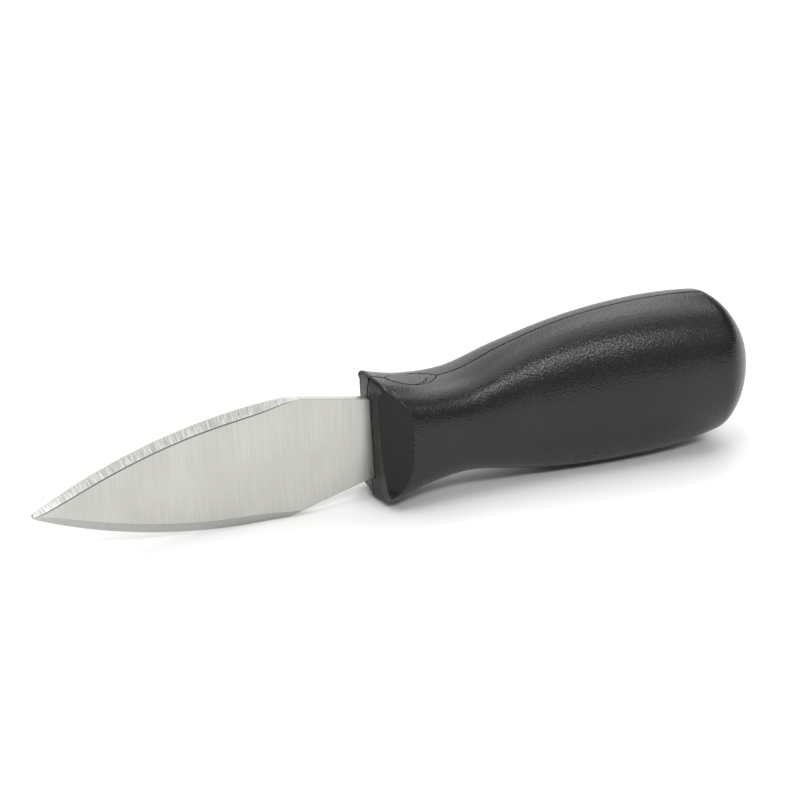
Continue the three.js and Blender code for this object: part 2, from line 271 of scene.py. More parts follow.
# Distance along the knife: crowded at the tip, even from the shoulder, with a step where the tang starts
tip_run = add_node(leaf, RAMP, row, 0.0, EDGE_ROWS, 0.0, 1.0)
crowded_run = add_node(leaf, MATH, tip_run, TIP_CROWDING, operation="POWER")
tip_x = add_node(leaf, MATH, size["Blade length"], -1.0, operation="MULTIPLY")
edge_x = add_node(leaf, RAMP, crowded_run, 0.0, 1.0, tip_x, size["Shoulder place"])
heel_run = add_node(leaf, MATH, size["Heel place"], size["Shoulder place"], operation="SUBTRACT")
heel_x = add_node(leaf, RAMP, row, EDGE_ROWS, heel_row, 0.0, heel_run)
tang_reach = add_node(leaf, MATH, size["Tang end"], size["Tang rear half width"], operation="ADD")
tang_run = add_node(leaf, MATH, tang_reach, size["Heel place"], operation="SUBTRACT")
tang_x = add_node(leaf, RAMP, row, heel_row + 1, last_row, 0.0, tang_run)
blade_x = add_node(leaf, MATH, edge_x, heel_x, operation="ADD")
x = add_node(leaf, MATH, blade_x, tang_x, operation="ADD")

# Half width of the leaf: round tip, edge arc, straight heel
from_tip = add_node(leaf, MATH, x, size["Tip centre"], operation="SUBTRACT")
from_tip_squared = add_node(leaf, MATH, from_tip, 2.0, operation="POWER")
tip_squared = add_node(leaf, MATH, size["Tip radius"], 2.0, operation="POWER")
tip_left = add_node(leaf, MATH, tip_squared, from_tip_squared, operation="SUBTRACT")
tip_kept = add_node(leaf, MATH, tip_left, 0.0, operation="MAXIMUM")
tip_half = add_node(leaf, MATH, tip_kept, operation="SQRT")
from_shoulder = add_node(leaf, MATH, x, size["Shoulder place"], operation="SUBTRACT")
from_shoulder_squared = add_node(leaf, MATH, from_shoulder, from_shoulder, operation="MULTIPLY")
arc_squared = add_node(leaf, MATH, size["Edge arc radius"], 2.0, operation="POWER")
arc_left = add_node(leaf, MATH, arc_squared, from_shoulder_squared, operation="SUBTRACT")
arc_height = add_node(leaf, MATH, arc_left, operation="SQRT")
arc_base = add_node(leaf, MATH, size["Shoulder half width"], size["Edge arc radius"], operation="SUBTRACT")
arc_half = add_node(leaf, MATH, arc_base, arc_height, operation="ADD")
heel_half = add_node(leaf, RAMP, x, size["Shoulder place"], 0.0,
                     size["Shoulder half width"], size["Heel half width"])
before_tangent = add_node(leaf, "FunctionNodeCompare", x, size["Tip tangent"], operation="LESS_THAN")
before_shoulder = add_node(leaf, "FunctionNodeCompare", x, size["Shoulder place"], operation="LESS_THAN")
leaf_half = add_node(leaf, "GeometryNodeSwitch", before_tangent, arc_half, tip_half, input_type="FLOAT")
drawn_half = add_node(leaf, "GeometryNodeSwitch", before_shoulder, heel_half, leaf_half, input_type="FLOAT")
blade_half = add_node(leaf, MATH, drawn_half, size["Edge thickness"], operation="MAXIMUM")

# Bevels: narrower at the tip, and lifting off the stock towards the shoulder
lift_run = add_node(leaf, RAMP, x, size["Grind lift start"], size["Grind lift end"], 0.0, 1.0)
lift = add_node(leaf, MATH, lift_run, GRIND_LIFT_CURVE, operation="POWER")
tip_share = add_node(leaf, MATH, blade_half, size["Bevel fade width"], operation="DIVIDE")
tip_turned = add_node(leaf, MATH, tip_share, -1.0, operation="MULTIPLY")
tip_fade = add_node(leaf, MATH, tip_turned, operation="EXPONENT")
ground = add_node(leaf, RAMP, tip_fade, 1.0, 0.0, 0.0, size["Bevel width"])
lifted = add_node(leaf, RAMP, lift, 0.0, 1.0, ground, 0.0)
bevel = add_node(leaf, MATH, lifted, size["Edge break"], operation="MAXIMUM")
stock_half = add_node(leaf, MATH, size["Blade thickness"], 2.0, operation="DIVIDE")
fine_edge = add_node(leaf, MATH, size["Edge thickness"], 2.0, operation="DIVIDE")
broken_edge = add_node(leaf, MATH, stock_half, size["Edge break"], operation="SUBTRACT")
blade_edge = add_node(leaf, RAMP, lift, 0.0, 1.0, fine_edge, broken_edge)
wide_flat = add_node(leaf, MATH, blade_half, bevel, operation="SUBTRACT")
ridge_flat = add_node(leaf, MATH, blade_half, RIDGE_SHARE, operation="MULTIPLY")
blade_flat = add_node(leaf, MATH, wide_flat, ridge_flat, operation="MAXIMUM")
bevel_run = add_node(leaf, MATH, blade_half, blade_flat, operation="SUBTRACT")
bevel_share = add_node(leaf, MATH, bevel_run, bevel, operation="DIVIDE")
blade_face = add_node(leaf, RAMP, bevel_share, 0.0, 1.0, blade_edge, stock_half)

# Tang: thinner, tapering, with a round end and no bevels
past_taper = add_node(leaf, MATH, x, size["Tang end"], operation="SUBTRACT")
into_end = add_node(leaf, MATH, past_taper, 0.0, operation="MAXIMUM")
into_end_squared = add_node(leaf, MATH, into_end, 2.0, operation="POWER")
taper = add_node(leaf, RAMP, x, size["Tang root"], size["Tang end"], size["Tang front half width"],
                 size["Tang rear half width"])
taper_squared = add_node(leaf, MATH, taper, 2.0, operation="POWER")
tang_left = add_node(leaf, MATH, taper_squared, into_end_squared, operation="SUBTRACT")
tang_kept = add_node(leaf, MATH, tang_left, 0.0, operation="MAXIMUM")
tang_half = add_node(leaf, MATH, tang_kept, operation="SQRT")
tang_face = add_node(leaf, MATH, size["Tang thickness"], 2.0, operation="DIVIDE")
in_tang = add_node(leaf, "FunctionNodeCompare", row, heel_row + 0.5, operation="GREATER_THAN")
half = add_node(leaf, "GeometryNodeSwitch", in_tang, blade_half, tang_half, input_type="FLOAT")
flat = add_node(leaf, "GeometryNodeSwitch", in_tang, blade_flat, tang_half, input_type="FLOAT")
face = add_node(leaf, "GeometryNodeSwitch", in_tang, blade_face, tang_face, input_type="FLOAT")
edge = add_node(leaf, "GeometryNodeSwitch", in_tang, blade_edge, tang_face, input_type="FLOAT")

# Cross section: flat face, hollow bevel, narrow edge; the first and last rows close to a point
bevel_column = FLAT_COLUMNS + BEVEL_COLUMNS
flat_run = add_node(leaf, RAMP, column, 0.0, FLAT_COLUMNS, 0.0, flat)
bevel_place = add_node(leaf, RAMP, column, FLAT_COLUMNS, bevel_column, 0.0, 1.0)
edge_place = add_node(leaf, RAMP, column, bevel_column, face_columns, 1.0, 0.0)
past_flat = add_node(leaf, MATH, half, flat, operation="SUBTRACT")
bevel_out = add_node(leaf, MATH, past_flat, bevel_place, operation="MULTIPLY")
outward = add_node(leaf, MATH, flat_run, bevel_out, operation="ADD")
hollow_place = add_node(leaf, MATH, bevel_place, size["Bevel hollow"], operation="POWER")
wall = add_node(leaf, RAMP, hollow_place, 0.0, 1.0, face, edge)
thickness = add_node(leaf, MATH, wall, edge_place, operation="MULTIPLY")
from_end = add_node(leaf, MATH, last_row, row, operation="SUBTRACT")
open_rows = add_node(leaf, MATH, row, from_end, operation="MINIMUM")
closing = add_node(leaf, RAMP, open_rows, 0.0, 1.0, 0.0, 1.0)
turned_outward = add_node(leaf, MATH, outward, side, operation="MULTIPLY")
z = add_node(leaf, MATH, turned_outward, closing, operation="MULTIPLY")
y = add_node(leaf, MATH, thickness, closing, operation="MULTIPLY")
section_point = add_node(leaf, "ShaderNodeCombineXYZ", x, y, z)
formed = add_node(leaf, "GeometryNodeSetPosition", grid, True, section_point)

# Each furrow's place square to the edge, its coarseness with painted light on the upper bevel and painted
# shade on the lower, and the dark hairline
arc_slope = add_node(leaf, MATH, from_shoulder, arc_height, operation="DIVIDE")
from_edge = add_node(leaf, MATH, half, outward, operation="SUBTRACT")
lean = add_node(leaf, MATH, arc_slope, from_edge, operation="MULTIPLY")
furrow_x = add_node(leaf, MATH, x, lean, operation="ADD")
furrow_point = add_node(leaf, "ShaderNodeCombineXYZ", furrow_x, from_edge, side)
placed = add_node(leaf, "GeometryNodeStoreNamedAttribute", formed, True, "grind_place", furrow_point,
                  data_type="FLOAT_VECTOR", domain="POINT")
# Upper bevel 1 and lower bevel less: coarser furrows with painted light above, finer furrows with painted
# shade below
side_coarseness_and_painted_light = add_node(leaf, RAMP, side, -1.0, 1.0, FINE_GRIND_COARSENESS_AND_SHADE, 1.0)
marked = add_node(leaf, "GeometryNodeStoreNamedAttribute", placed, True, "grind_coarseness_and_painted_light", side_coarseness_and_painted_light,
                  data_type="FLOAT", domain="FACE")
past_face = add_node(leaf, "FunctionNodeCompare", column, FLAT_COLUMNS, operation="GREATER_THAN")
on_first_column = add_node(leaf, "FunctionNodeCompare", column, FLAT_COLUMNS + 1, operation="LESS_THAN")
before_lift = add_node(leaf, "FunctionNodeCompare", x, size["Grind lift end"], operation="LESS_THAN")
beveled = add_node(leaf, "FunctionNodeBooleanMath", past_face, before_lift, operation="AND")
lined = add_node(leaf, "FunctionNodeBooleanMath", beveled, on_first_column, operation="AND")
line_share = add_node(leaf, MATH, lined, side_coarseness_and_painted_light, operation="MULTIPLY")
ruled = add_node(leaf, "GeometryNodeStoreNamedAttribute", marked, True, "grind_line", line_share,
                 data_type="FLOAT", domain="FACE")
bevel_mark = add_node(leaf, "GeometryNodeStoreNamedAttribute", ruled, True, "beveled", beveled,
                      data_type="BOOLEAN", domain="FACE")
other_face = add_node(leaf, "GeometryNodeTransform", bevel_mark, named={"Scale": (1, -1, 1)})
turned_face = add_node(leaf, "GeometryNodeFlipFaces", bevel_mark)
both_faces = leaf.nodes.new("GeometryNodeJoinGeometry")
leaf.links.new(turned_face, both_faces.inputs[0])
leaf.links.new(other_face, both_faces.inputs[0])
closed = add_node(leaf, "GeometryNodeMergeByDistance", both_faces.outputs[0], named={
    "Distance": WELD_DISTANCE})
bevel_selection = add_node(leaf, "GeometryNodeInputNamedAttribute", "beveled", data_type="BOOLEAN")
whole = add_node(leaf, "GeometryNodeRealizeInstances", closed)
brushed = add_node(leaf, "GeometryNodeSetMaterial", whole, True, brushed_steel)
finished = add_node(leaf, "GeometryNodeSetMaterial", brushed, bevel_selection, ground_steel)
add_node(leaf, "NodeGroupOutput", finished)

blade_mesh = shaped_mesh(leaf, blade_sizes, bpy.data.meshes.new("blade blank"))
blade_mesh.shade_smooth()
blade = place_piece("leaf_blade", blade_mesh, sharp_angle=12)
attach(blade, "root")
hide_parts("blade")

# Handle halves: two mirrored shells of black polypropylene, injection moulded with a fine stipple.
# They close round the tang along the knife's middle plane, and a hollow facet is cut in each front corner.
# The front face is flat beside the blade, leans back a little from the seam and rolls back above and below.
COLLAR_FRONT_X = -0.55
HANDLE_LENGTH = 88.3

# Handle sections: place along the knife, half thickness, rise above the axis and drop below it
HANDLE_SECTIONS = np.array([
    [COLLAR_FRONT_X, 10.8, 13.75, 13.55],
    [2.7, 10.6, 12.5, 13.35],
    [9, 10.5, 10.85, 11.5],
    [19, 10.15, 10.5, 10.95],
    [30, 10.3, 13.55, 13.5],
    [43, 11.15, 16.2, 16.25],
    [56, 12.3, 17.15, 17.3],
    [68, 12.9, 16.9, 17.3],
    [80, 12.8, 15.35, 15.7],
    [HANDLE_LENGTH, 12, 13, 13.5],
])
SECTION_SQUARENESS = 2.2
COLLAR_SQUARENESS = 3.2
COLLAR_BLEND_LENGTH = 45.0
BUTT_LENGTH = 9.5
BUTT_SQUARENESS = 1.77
FRONT_FLAT_TOP = 8.6
FRONT_FLAT_BOTTOM = -10.2
FRONT_LEAN = math.radians(6)
FRONT_LEAN_WIDTH = 4.0
FRONT_RIDGE = 0.25
FRONT_TOP_RADIUS = 15.0
FRONT_BOTTOM_RADIUS = 20.0
RIM_CUT = 0.47
FACET_FADE = 4 * RIM_CUT
CORNER_ROUND = 0.33
FACET_INSET = 4.4
FACET_ANGLE = math.radians(48)
FACET_HOLLOW_RADIUS = 80.0
FACET_HOLLOW_Z = 6.0
FACET_LIMIT_X = 9.0
SEAM_HALF_GAP = 0.15
SEAM_DEPTH = 0.5
MATING_HALF_GAP = 0.005
SEAM_ROUND = 0.1
SEAM_ROUND_ANGLES = (30, 60, 90)
SEAM_OPEN_ROUND = 0.35
SEAM_FADE = 0.6
SEAM_OPEN_X = 76.0
SEAM_OPEN_LENGTH = 4.0
SLOT_CLEARANCE = 0.3
POCKET_CLEARANCE = 0.2
MOUTH_DEPTH = 2.0
MOUTH_HALF = 1.55
INLAY_FRONT_X = 3.4
INLAY_BACK_X = 15.2
INLAY_WIDTH = 6.6
INLAY_FLOOR_Z = 8.8
SMOOTH_FACE_LEAN = -0.45

# Handle mesh: columns from the upper to the lower seam, rows from front to butt, rounds of the search
# for the rim and the crease, and steps round the cutters
HANDLE_COLUMNS = 128
FRONT_ROWS = 10
FACET_ROWS = 8
CORNER_ROWS = 5
BODY_ROWS = 120
BUTT_ROWS = 28
BUTT_END_MARGIN = 1.0001
RIM_ROUNDS = 20
CREASE_HALVINGS = 40
POCKET_STEPS = 49
SLOT_END_STEPS = 25


def handle_profile(x):
    """Half thickness, rise and drop along the handle: a smooth curve through the sections."""
    stations, sizes = HANDLE_SECTIONS[:, 0], HANDLE_SECTIONS[:, 1:]
    slopes = np.diff(sizes, axis=0) / np.diff(stations)[:, None]
    tangents = np.concatenate([slopes[:1], (slopes[1:] + slopes[:-1]) / 2, slopes[-1:]])
    section = np.clip(np.searchsorted(stations, x, side="right") - 1, 0, len(stations) - 2)
    span = stations[section + 1] - stations[section]
    share = ((x - stations[section]) / span)[..., None]
    span = span[..., None]
    start = (2 * share**3 - 3 * share**2 + 1) * sizes[section]
    start += (share**3 - 2 * share**2 + share) * span * tangents[section]
    end = (3 * share**2 - 2 * share**3) * sizes[section + 1]
    end += (share**3 - share**2) * span * tangents[section + 1]
    return start + end


def butt_closing(x):
    """Share of the profile that is left at x as the butt rounds in."""
    into_butt = np.clip((x - HANDLE_LENGTH + BUTT_LENGTH) / BUTT_LENGTH, 0, 1)
    return (1 - into_butt**BUTT_SQUARENESS) ** (1 / BUTT_SQUARENESS)


def section_squareness(x):
    """How square the cross section is: squarest at the collar."""
    blend = np.clip(x / COLLAR_BLEND_LENGTH, 0, 1)
    blend = blend * blend * (3 - 2 * blend)
    return COLLAR_SQUARENESS + (SECTION_SQUARENESS - COLLAR_SQUARENESS) * blend


def handle_point(x, turn):
    """Point of the outer form of one half: turn runs from the upper seam, 0, to the lower one, 1."""
    sizes = handle_profile(x) * butt_closing(x)[..., None]
    thick, rise, drop = np.moveaxis(sizes, -1, 0)
    power = 2 / section_squareness(x)
    seam_angle = np.arcsin(np.clip(SEAM_HALF_GAP / thick, 0, 1) ** (1 / power))
    angle = seam_angle + (math.pi - 2 * seam_angle) * turn
    upward = np.cos(angle)
    y = thick * np.abs(np.sin(angle)) ** power
    z = np.where(upward > 0, rise, drop) * np.sign(upward) * np.abs(upward) ** power
    return np.stack([x, y, z], axis=-1)


def front_place(z, y):
    """Where the collar's front face lies at a height and at a distance from the seam, its foremost line."""
    above = np.clip(z - FRONT_FLAT_TOP, 0, None)
    below = np.clip(FRONT_FLAT_BOTTOM - z, 0, None)
    lean = np.clip(y, 0, FRONT_LEAN_WIDTH) * math.tan(FRONT_LEAN) - FRONT_RIDGE
    return COLLAR_FRONT_X + lean + above**2 / (2 * FRONT_TOP_RADIUS) + below**2 / (2 * FRONT_BOTTOM_RADIUS)


def facet_depth(x, z):
    """How far out from the middle plane the hollow facet cuts at x and z."""
    sag = FACET_HOLLOW_RADIUS - np.sqrt(FACET_HOLLOW_RADIUS**2 - (z - FACET_HOLLOW_Z) ** 2)
    return FACET_INSET + (x - COLLAR_FRONT_X) * math.tan(FACET_ANGLE) + sag / math.cos(FACET_ANGLE)


def rounded_corner(before, corner, after):
    """Rows of a smooth bend that leaves one line and joins the next."""
    steps = np.linspace(0, 1, CORNER_ROWS)[:, None, None]
    return (1 - steps) ** 2 * before + 2 * steps * (1 - steps) * corner + steps**2 * after


def collar_crease(turn):
    """Where the body ends at the front: on the facet's outer crease, or on the rim beside it."""
    rim_x = np.full_like(turn, COLLAR_FRONT_X)
    for _ in range(RIM_ROUNDS):
        rim = handle_point(rim_x, turn)
        rim_x = front_place(rim[:, 2], rim[:, 1])
    near, far = rim_x, np.full_like(turn, FACET_LIMIT_X)
    for _ in range(CREASE_HALVINGS):
        middle = (near + far) / 2
        point = handle_point(middle, turn)
        cut_away = facet_depth(middle, point[:, 2]) < point[:, 1]
        near, far = np.where(cut_away, middle, near), np.where(cut_away, far, middle)
    crease_x = np.maximum(near, rim_x + RIM_CUT)
    facet_share = np.clip((near - rim_x - RIM_CUT) / FACET_FADE, 0, 1)
    return crease_x, facet_share * facet_share * (3 - 2 * facet_share)


def half_skin(turn):
    """Rows of points over one half, from the seam in its front face over facet and body to the butt."""
    crease_x, facet_share = collar_crease(turn)
    crease = handle_point(crease_x, turn)
    outline = np.gradient(crease[:, 1:], axis=0)
    inward = np.stack([0 * turn, outline[:, 1], -outline[:, 0]], axis=-1)
    inward /= np.linalg.norm(inward, axis=1, keepdims=True)
    rim_edge = crease + RIM_CUT * inward
    facet_edge = crease.copy()
    facet_edge[:, 1] = facet_depth(front_place(crease[:, 2], FRONT_LEAN_WIDTH), crease[:, 2])
    front_edge = rim_edge + (facet_edge - rim_edge) * facet_share[:, None]
    front_edge[:, 0] = front_place(front_edge[:, 2], front_edge[:, 1])
    slant = crease - front_edge
    slant /= np.linalg.norm(slant, axis=1, keepdims=True)
    flat_way = slant * [0, 1, 1]
    flat_way /= np.linalg.norm(flat_way, axis=1, keepdims=True)
    front_start = front_edge - CORNER_ROUND * flat_way
    front_start[:, 0] = front_place(front_start[:, 2], front_start[:, 1])
    even_height = front_start[0, 2] + (front_start[-1, 2] - front_start[0, 2]) * turn
    front_share = np.linspace(0, 1, FRONT_ROWS + 1)[:-1, None]
    front_y = SEAM_HALF_GAP + (front_start[:, 1] - SEAM_HALF_GAP) * front_share
    front_z = even_height + (front_start[:, 2] - even_height) * front_share
    front = np.stack([front_place(front_z, front_y), front_y, front_z], axis=-1)
    front_bend = rounded_corner(front_start, front_edge, front_edge + CORNER_ROUND * slant)
    body_start = crease_x + CORNER_ROUND
    rim_bend = rounded_corner(crease - CORNER_ROUND * slant, crease, handle_point(body_start, turn))
    facet_steps = np.linspace(0, 1, FACET_ROWS + 2)[1:-1, None, None]
    facet = front_bend[-1] + (rim_bend[0] - front_bend[-1]) * facet_steps
    body_end = HANDLE_LENGTH - BUTT_LENGTH
    body_x = body_start + (body_end - body_start) * np.linspace(0, 1, BODY_ROWS)[1:, None]
    end_share = BUTT_END_MARGIN * SEAM_HALF_GAP / HANDLE_SECTIONS[-1, 1]
    end_angle = math.asin((1 - end_share**BUTT_SQUARENESS) ** (1 / BUTT_SQUARENESS))
    butt_x = body_end + BUTT_LENGTH * np.sin(np.linspace(0, end_angle, BUTT_ROWS)[1:, None])
    rear_x = np.concatenate([body_x, butt_x + 0 * turn])
    rear = handle_point(rear_x, np.broadcast_to(turn, rear_x.shape))
    return np.concatenate([front, front_bend, facet, rim_bend, rear])


def seam_round(point):
    """Edge radius along the seam: small, and wider where the halves part over the butt."""
    opening = np.exp(-(((point[..., 0] - SEAM_OPEN_X) / SEAM_OPEN_LENGTH) ** 2)) * (point[..., 2] > 0)
    return SEAM_ROUND + (SEAM_OPEN_ROUND - SEAM_ROUND) * opening


def seam_rings(edge):
    """Rings that roll the seam's edge in, follow the groove down and close it where the halves touch."""
    along = np.roll(edge, -1, axis=0) - np.roll(edge, 1, axis=0)
    inward = np.stack([along[:, 2], 0 * along[:, 0], -along[:, 0]], axis=-1)
    inward /= np.linalg.norm(inward, axis=1, keepdims=True)
    radius = (edge[:, 1] - SEAM_HALF_GAP)[:, None]
    for angle in np.radians(SEAM_ROUND_ANGLES):
        ring = edge + inward * radius * (1 - math.cos(angle))
        ring[:, 1] -= radius[:, 0] * math.sin(angle)
        yield ring
    groove_floor = ring + inward * SEAM_DEPTH
    yield groove_floor
    yield groove_floor * [1, 0, 1] + [0, MATING_HALF_GAP, 0]


def shell_mesh(name, grid, side, border_rings):
    """Closed mesh of a grid of points: its skin, rings turned in from its border, and a flat end."""
    points, number = np.unique(grid.reshape(-1, 3).round(5), axis=0, return_inverse=True)
    number = number.reshape(grid.shape[:2])
    corners = [number[:-1, :-1], number[:-1, 1:], number[1:, 1:], number[1:, :-1]]
    quads = np.stack(corners, axis=-1).reshape(-1, 4)
    border = np.concatenate([number[:-1, 0], number[-1, :-1], number[:0:-1, -1], number[0, :0:-1]])
    border = np.array(list(dict.fromkeys(border.tolist())))
    faces = [list(dict.fromkeys(quad)) for quad in quads.tolist()]
    for ring in border_rings(points[border]):
        loop = np.arange(len(ring)) + len(points)
        points = np.concatenate([points, ring])
        faces += np.stack([border, np.roll(border, -1), np.roll(loop, -1), loop], axis=-1).tolist()
        border = loop
    rearmost = np.lexsort((np.abs(points[border, 2]), -points[border, 0].round(3)))[0]
    rim = np.roll(border, -rearmost).tolist()
    faces += [list(dict.fromkeys([rim[k], rim[k + 1], rim[-k - 1], rim[-k]])) for k in range(len(rim) // 2)]
    mesh = bpy.data.meshes.new(name)
    mesh.from_pydata((points * [1, side, 1]).tolist(), [], [face for face in faces if len(face) > 2])
    mesh.shade_smooth()
    if side > 0:
        mesh.flip_normals()
    return mesh


def lens_half_width(x, front_x, back_x, width):
    """Half width at x of a lens between two equal arcs that meet at its ends."""
    half_length, half_width = (back_x - front_x) / 2, width / 2
    radius = (half_length**2 + half_width**2) / (2 * half_width)
    from_middle = np.clip(x - (front_x + back_x) / 2, -half_length, half_length)
    return np.sqrt(radius**2 - from_middle**2) - radius + half_width


def prism(name, outline, sweep):
    """Closed prism: an outline of points moved along a straight sweep."""
    shape = bmesh.new()
    corners = [shape.verts.new(point) for point in outline]
    base = shape.faces.new(corners)
    moved = bmesh.ops.extrude_face_region(shape, geom=[base])["geom"]
    moved_corners = [item for item in moved if isinstance(item, bmesh.types.BMVert)]
    bmesh.ops.translate(shape, verts=moved_corners, vec=sweep)
    bmesh.ops.recalc_face_normals(shape, faces=shape.faces)
    mesh = bpy.data.meshes.new(name)
    shape.to_mesh(mesh)
    shape.free()
    return mesh


def carved(mesh, cutters):
    """Mesh with the cutters taken out of it."""
    body = bpy.data.objects.new(mesh.name, mesh)
    tools = [bpy.data.objects.new(cutter.name, cutter) for cutter in cutters]
    for item in (body, *tools):
        bpy.context.scene.collection.objects.link(item)
    for tool in tools:
        cut = body.modifiers.new(tool.name, "BOOLEAN")
        cut.object, cut.operation, cut.solver = tool, "DIFFERENCE", "MANIFOLD"
    evaluated = body.evaluated_get(bpy.context.evaluated_depsgraph_get())
    result = bpy.data.meshes.new_from_object(evaluated)
    for item in (body, *tools):
        bpy.data.objects.remove(item)
    return result


# Stippled polypropylene: carbon black in the melt and a spark-eroded mould give a satin black with fine grain
# that breaks the highlights up. The grain is about 0.4 mm.
STIPPLE_SIZE = 0.4
STIPPLE_DEPTH = 0.09
STIPPLED_CLOUD_SIZE = 14.0
STIPPLED_SHADES = ("#161718", "#1d1e1f")
STIPPLED_SHEEN = (0.2, 0.28)
POLYPROPYLENE_IOR = 1.49
stippled_plastic, shader = new_material("Stippled black polypropylene")
place = add_node(shader, "ShaderNodeTexCoord", output="Object")
grain = add_node(shader, "ShaderNodeTexNoise", place, named={
    "Scale": 1 / (STIPPLE_SIZE * MILLIMETRE), "Detail": 1.0, "Roughness": 0.5})
clouds = add_node(shader, "ShaderNodeTexNoise", place, named={
    "Scale": 1 / (STIPPLED_CLOUD_SIZE * MILLIMETRE), "Detail": 2.0})
tone = add_node(shader, "ShaderNodeValToRGB", clouds)
for stop, level, shade in zip(tone.node.color_ramp.elements, NOISE_RANGE, STIPPLED_SHADES):
    stop.position = level
    stop.color = linear_colour(shade)
sheen = add_node(shader, "ShaderNodeMapRange", grain, *NOISE_RANGE, *STIPPLED_SHEEN)
stipple = add_node(shader, "ShaderNodeBump", named={
    "Height": grain, "Strength": 1.0, "Distance": STIPPLE_DEPTH * MILLIMETRE})
surface = add_node(shader, "ShaderNodeBsdfPrincipled", named={
    "Base Color": tone, "Roughness": sheen, "Specular IOR Level": 0.42, "IOR": POLYPROPYLENE_IOR,
    "Normal": stipple})
add_node(shader, "ShaderNodeOutputMaterial", surface)

# Smooth polypropylene: the facets and the front face come off a ground insert in the mould, so they have no
# stipple, only faint 1.5 mm waves, and look a shade darker and greener than the body.
WAVE_SIZE = 1.5
SMOOTH_SHADES = ("#151716", "#1b1e1c")
SMOOTH_SHEEN = (0.35, 0.43)
smooth_plastic, shader = new_material("Smooth black polypropylene")
place = add_node(shader, "ShaderNodeTexCoord", output="Object")
waves = add_node(shader, "ShaderNodeTexNoise", place, named={
    "Scale": 1 / (WAVE_SIZE * MILLIMETRE), "Detail": 2.0})
tone = add_node(shader, "ShaderNodeValToRGB", waves)
for stop, level, shade in zip(tone.node.color_ramp.elements, NOISE_RANGE, SMOOTH_SHADES):
    stop.position = level
    stop.color = linear_colour(shade)
sheen = add_node(shader, "ShaderNodeMapRange", waves, *NOISE_RANGE, *SMOOTH_SHEEN)
surface = add_node(shader, "ShaderNodeBsdfPrincipled", named={
    "Base Color": tone, "Roughness": sheen, "Specular IOR Level": 0.3, "IOR": POLYPROPYLENE_IOR})
add_node(shader, "ShaderNodeOutputMaterial", surface)

# Each half is cut out for the heel and the tang along its mating face and for the inlay on top of the neck
mouth_x = (COLLAR_FRONT_X - MOUTH_DEPTH, COLLAR_FRONT_X + MOUTH_DEPTH)
mouth_half = HEEL_HALF + SLOT_CLEARANCE
mouth_top = [(x, -MOUTH_HALF, mouth_half) for x in mouth_x]
mouth_outline = [*mouth_top, *[(x, y, -z) for x, y, z in reversed(mouth_top)]]
tang_corners = [(COLLAR_FRONT_X, TANG_FRONT_HALF), (TANG_END_X, TANG_REAR_HALF)]
slot_side = [(x, -BLADE_THICKNESS / 2, half + SLOT_CLEARANCE) for x, half in tang_corners]
slot_end = [
    (TANG_END_X + (TANG_REAR_HALF + SLOT_CLEARANCE) * math.cos(angle), -BLADE_THICKNESS / 2,
     (TANG_REAR_HALF + SLOT_CLEARANCE) * math.sin(angle))
    for angle in np.linspace(math.pi / 2, -math.pi / 2, SLOT_END_STEPS)[1:-1]
]
slot_outline = [*slot_side, *slot_end, *[(x, y, -z) for x, y, z in reversed(slot_side)]]
pocket_x = np.linspace(INLAY_FRONT_X - POCKET_CLEARANCE, INLAY_BACK_X + POCKET_CLEARANCE, POCKET_STEPS)
pocket_half = lens_half_width(pocket_x, pocket_x[0], pocket_x[-1], INLAY_WIDTH + 2 * POCKET_CLEARANCE)
pocket_floor = INLAY_FLOOR_Z - POCKET_CLEARANCE
pocket_side = [(x, half, pocket_floor) for x, half in zip(pocket_x, pocket_half)]
pocket_outline = [*pocket_side, *[(x, -y, z) for x, y, z in reversed(pocket_side[1:-1])]]

# The skin's first and last columns lie on the seam, then stand off it by the radius that the rings roll in
turn = np.linspace(0, 1, HANDLE_COLUMNS + 1)
skin = half_skin(turn)
skin[:, [0, -1], 1] = SEAM_HALF_GAP
skin[..., 1] += seam_round(skin) * np.exp((SEAM_HALF_GAP - skin[..., 1]) / SEAM_FADE)
for name, side in (("left", -1), ("right", 1)):
    whole_half = shell_mesh(f"handle half {name}", skin, side, seam_rings)
    whole_half.materials.append(stippled_plastic)
    whole_half.materials.append(smooth_plastic)
    for face in whole_half.polygons:
        face.material_index = int(face.normal.x < SMOOTH_FACE_LEAN)
    cutters = [
        prism("slot mouth", mouth_outline, (0, 2 * MOUTH_HALF, 0)),
        prism("tang slot", slot_outline, (0, BLADE_THICKNESS, 0)),
        prism("inlay pocket", pocket_outline, (0, 0, INLAY_WIDTH)),
    ]
    half_piece = place_piece(f"handle_shell_{name}", carved(whole_half, cutters), sharp_angle=40)
    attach(half_piece, "root")
    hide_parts(f"handle_half_{name}")

# Crease scuffs: pale flecks where knocks have torn the plastic's skin along the left facet's outer crease.
# They stand a few hundredths of a millimetre proud, in one stretch behind the crease and one on it.
FLECK_COUNT = 9
FLECK_LENGTH = 0.28
FLECK_WIDTH = 0.09
FLECK_THINNEST = 0.03
FLECK_SCATTER = 0.1

# Worn stretches: a row of the handle's mesh, with the first column and the one after the last
CREASE_ROW = FRONT_ROWS + CORNER_ROWS + FACET_ROWS + CORNER_ROWS // 2
BEHIND_CREASE_ROW = CREASE_ROW + 3
WORN_STRETCHES = ((BEHIND_CREASE_ROW, 17, 27), (CREASE_ROW, 58, 67))

